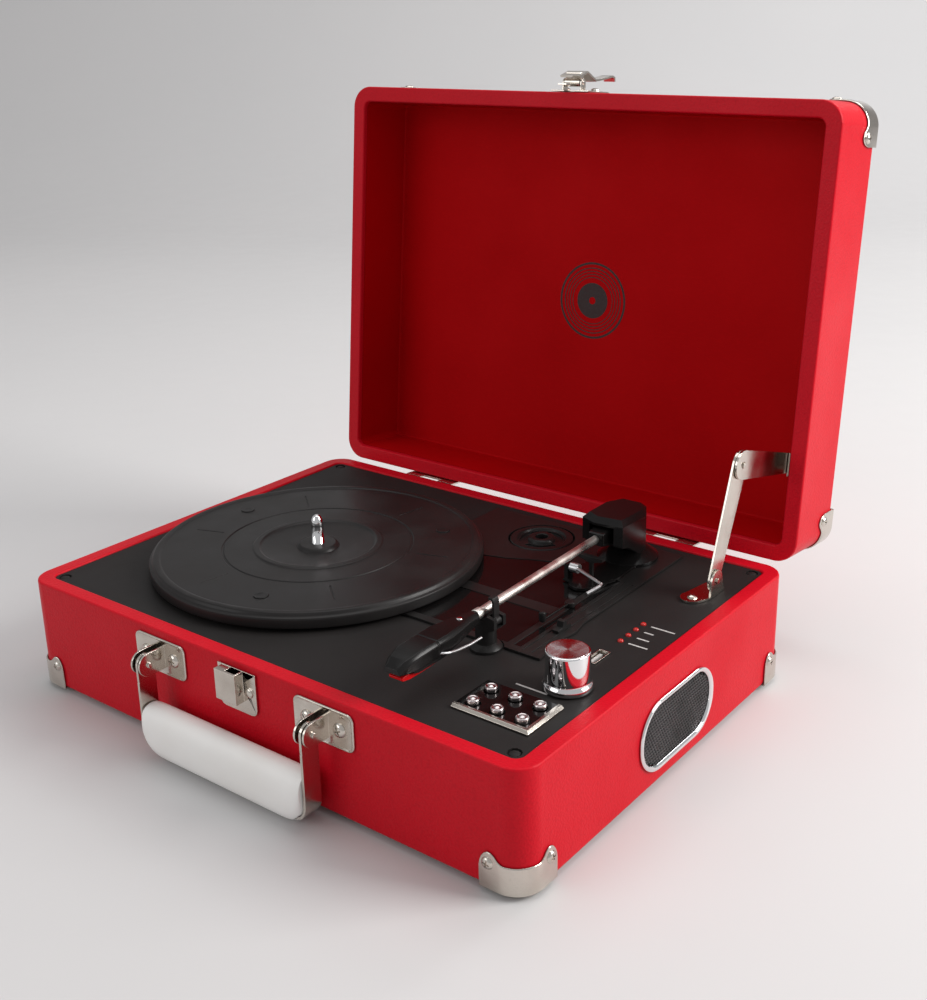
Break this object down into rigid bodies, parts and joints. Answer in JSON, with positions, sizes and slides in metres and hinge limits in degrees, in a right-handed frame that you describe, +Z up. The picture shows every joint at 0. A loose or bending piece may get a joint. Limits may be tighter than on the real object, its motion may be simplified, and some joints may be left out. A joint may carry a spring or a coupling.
{
  "type": "suitcase record player",
  "caption": "Open suitcase record player: hinged lid on a folding stay, belt-driven platter, tonearm with rest and cue lever, controls, side speakers, carry handle.",
  "frame": {"origin": "on the floor under the middle of the whole open object's bounding box; z = 0 is the underside of the feet", "axes": "+X towards the controls' side (right as one faces the front), +Y towards the back, where the lid hangs, +Z up"},
  "size_m": [0.3554, 0.3651, 0.3359],
  "materials": {
    "leatherette": "fine grained red leatherette",
    "nickel": "warm nickel plate",
    "charcoal": "matt charcoal",
    "gloss_black": "gloss black",
    "black_plastic": "satin black",
    "steel": "plain",
    "chrome": "polished",
    "rubber": "matt",
    "brass": "turned",
    "grip": "off-white, soft",
    "board": "solder mask",
    "mesh": "black mesh"
  },
  "bodies": {
    "case": {"base_case": "leatherette", "bottom_panel": "leatherette", "base_corner_front_left": "nickel", "base_corner_front_right": "nickel", "base_corner_back_left": "nickel", "base_corner_back_right": "nickel", "deck_panel": "charcoal", "mechanism_plate": "gloss_black", "spindle": "chrome", "motor": "steel", "drive_belt": "rubber", "tonearm_base": "black_plastic", "arm_rest_post": "black_plastic", "button_panel": "gloss_black", "circuit_board": "board", "speaker_grille_left": "mesh", "speaker_grille_right": "mesh", "speaker_driver_left": "steel", "speaker_driver_right": "steel", "handle_plate_left": "nickel", "handle_plate_right": "nickel", "rear_socket_panel": "black_plastic", "hinge_base_leaf_left": "nickel", "hinge_base_leaf_right": "nickel", "stay_foot_bracket": "nickel", "catch_plate": "nickel"},
    "lid": {"lid_shell": "leatherette", "lid_corner_front_left": "nickel", "lid_corner_front_right": "nickel", "lid_corner_back_left": "nickel", "lid_corner_back_right": "nickel", "hinge_lid_leaf_left": "nickel", "hinge_lid_leaf_right": "nickel", "latch_plate": "nickel", "stay_lid_bracket": "nickel"},
    "latch": {"latch_hasp": "nickel"},
    "stay_lower": {"stay_lower_arm": "nickel"},
    "stay_upper": {"stay_upper_arm": "nickel"},
    "platter_body": {"platter": "black_plastic"},
    "pulley": {"motor_pulley": "brass"},
    "adapter": {"adapter_45": "black_plastic"},
    "arm_yoke": {"arm_housing": "black_plastic"},
    "tonearm": {"tonearm_tube": "chrome", "headshell": "black_plastic", "cartridge": "black_plastic"},
    "rest_lock": {"arm_lock": "black_plastic"},
    "cue": {"cue_lever": "steel"},
    "lift_bar": {"lift_platform": "black_plastic"},
    "speed_lever": {"speed_selector": "black_plastic"},
    "auto_stop": {"auto_stop_switch": "black_plastic"},
    "knob": {"volume_knob": "chrome"},
    "handle": {"handle_strap_left": "nickel", "handle_strap_right": "nickel", "handle_grip": "grip"},
    "button_1": {"control_button_1": "chrome"},
    "button_2": {"control_button_2": "chrome"},
    "button_3": {"control_button_3": "chrome"},
    "button_4": {"control_button_4": "chrome"},
    "button_5": {"control_button_5": "chrome"},
    "button_6": {"control_button_6": "chrome"}
  },
  "joints": [
    {"name": "lid_hinge", "type": "hinge", "parent": "case", "child": "lid", "pos_m": [0, 0.10155, 0.0622], "axis": [1, 0, 0], "range_deg": [0, 95.6]},
    {"name": "latch_pivot", "type": "hinge", "parent": "lid", "child": "latch", "pos_m": [0, 0.13921, 0.32945], "axis": [1, 0, 0], "range_deg": [0, 11]},
    {"name": "stay_foot_pivot", "type": "hinge", "parent": "case", "child": "stay_lower", "pos_m": [0.15525, 0.0451, 0.0747], "axis": [1, 0, 0], "range_deg": [0, 107]},
    {"name": "stay_knee_pivot", "type": "hinge", "parent": "stay_lower", "child": "stay_upper", "pos_m": [0.15525, 0.0702, 0.1346], "axis": [1, 0, 0], "range_deg": [-86, 0]},
    {"name": "platter_spin", "type": "hinge", "parent": "case", "child": "platter_body", "pos_m": [-0.0575, -0.0441, 0.0681], "axis": [0, 0, 1], "continuous": true},
    {"name": "motor_spin", "type": "hinge", "parent": "case", "child": "pulley", "pos_m": [-0.1169, 0.0153, 0.0685], "axis": [0, 0, 1], "continuous": true},
    {"name": "adapter_lift", "type": "slide", "parent": "case", "child": "adapter", "axis": [0, 0, 1], "range_m": [0, 0.03]},
    {"name": "arm_swing", "type": "hinge", "parent": "case", "child": "arm_yoke", "pos_m": [0.0912, 0.0609, 0.0675], "axis": [0, 0, 1], "range_deg": [-38, 0]},
    {"name": "arm_lift", "type": "hinge", "parent": "arm_yoke", "child": "tonearm", "pos_m": [0.0912, 0.0479, 0.0885], "axis": [-1, 0, 0], "range_deg": [0, 5]},
    {"name": "arm_lock_pivot", "type": "hinge", "parent": "case", "child": "rest_lock", "pos_m": [0.0976, -0.0771, 0.08311], "axis": [0, -1, 0], "range_deg": [0, 26]},
    {"name": "cue_lever_pivot", "type": "hinge", "parent": "case", "child": "cue", "pos_m": [0.0852, 0.0139, 0.0755], "axis": [-1, 0, 0], "range_deg": [0, 45]},
    {"name": "lift_bar_slide", "type": "slide", "parent": "case", "child": "lift_bar", "axis": [0, 0, 1], "range_m": [0, 0.006]},
    {"name": "speed_selector_pivot", "type": "hinge", "parent": "case", "child": "speed_lever", "pos_m": [0.101, -0.0151, 0.0685], "axis": [0, 0, 1], "range_deg": [-9, 9]},
    {"name": "auto_stop_slide", "type": "slide", "parent": "case", "child": "auto_stop", "axis": [0, 1, 0], "range_m": [-0.003, 0.003]},
    {"name": "volume_turn", "type": "hinge", "parent": "case", "child": "knob", "pos_m": [0.1472, -0.0868, 0.0665], "axis": [0, 0, 1], "range_deg": [-150, 150]},
    {"name": "handle_swing", "type": "hinge", "parent": "case", "child": "handle", "pos_m": [0, -0.1734, 0.053], "axis": [1, 0, 0], "range_deg": [-150, 0]},
    {"name": "button_1_press", "type": "slide", "parent": "case", "child": "button_1", "axis": [0, 0, -1], "range_m": [0, 0.0012], "stiffness_N_per_m": 300},
    {"name": "button_2_press", "type": "slide", "parent": "case", "child": "button_2", "axis": [0, 0, -1], "range_m": [0, 0.0012], "stiffness_N_per_m": 300},
    {"name": "button_3_press", "type": "slide", "parent": "case", "child": "button_3", "axis": [0, 0, -1], "range_m": [0, 0.0012], "stiffness_N_per_m": 300},
    {"name": "button_4_press", "type": "slide", "parent": "case", "child": "button_4", "axis": [0, 0, -1], "range_m": [0, 0.0012], "stiffness_N_per_m": 300},
    {"name": "button_5_press", "type": "slide", "parent": "case", "child": "button_5", "axis": [0, 0, -1], "range_m": [0, 0.0012], "stiffness_N_per_m": 300},
    {"name": "button_6_press", "type": "slide", "parent": "case", "child": "button_6", "axis": [0, 0, -1], "range_m": [0, 0.0012], "stiffness_N_per_m": 300}
  ],
  "couplings": [
    {"joint": "stay_foot_pivot", "follows": "lid_hinge", "ratio": 1.114},
    {"joint": "stay_knee_pivot", "follows": "lid_hinge", "ratio": -0.885},
    {"joint": "motor_spin", "follows": "platter_spin", "ratio": 14.8},
    {"joint": "cue_lever_pivot", "follows": "lift_bar_slide", "rad_per_m": 130}
  ]
}
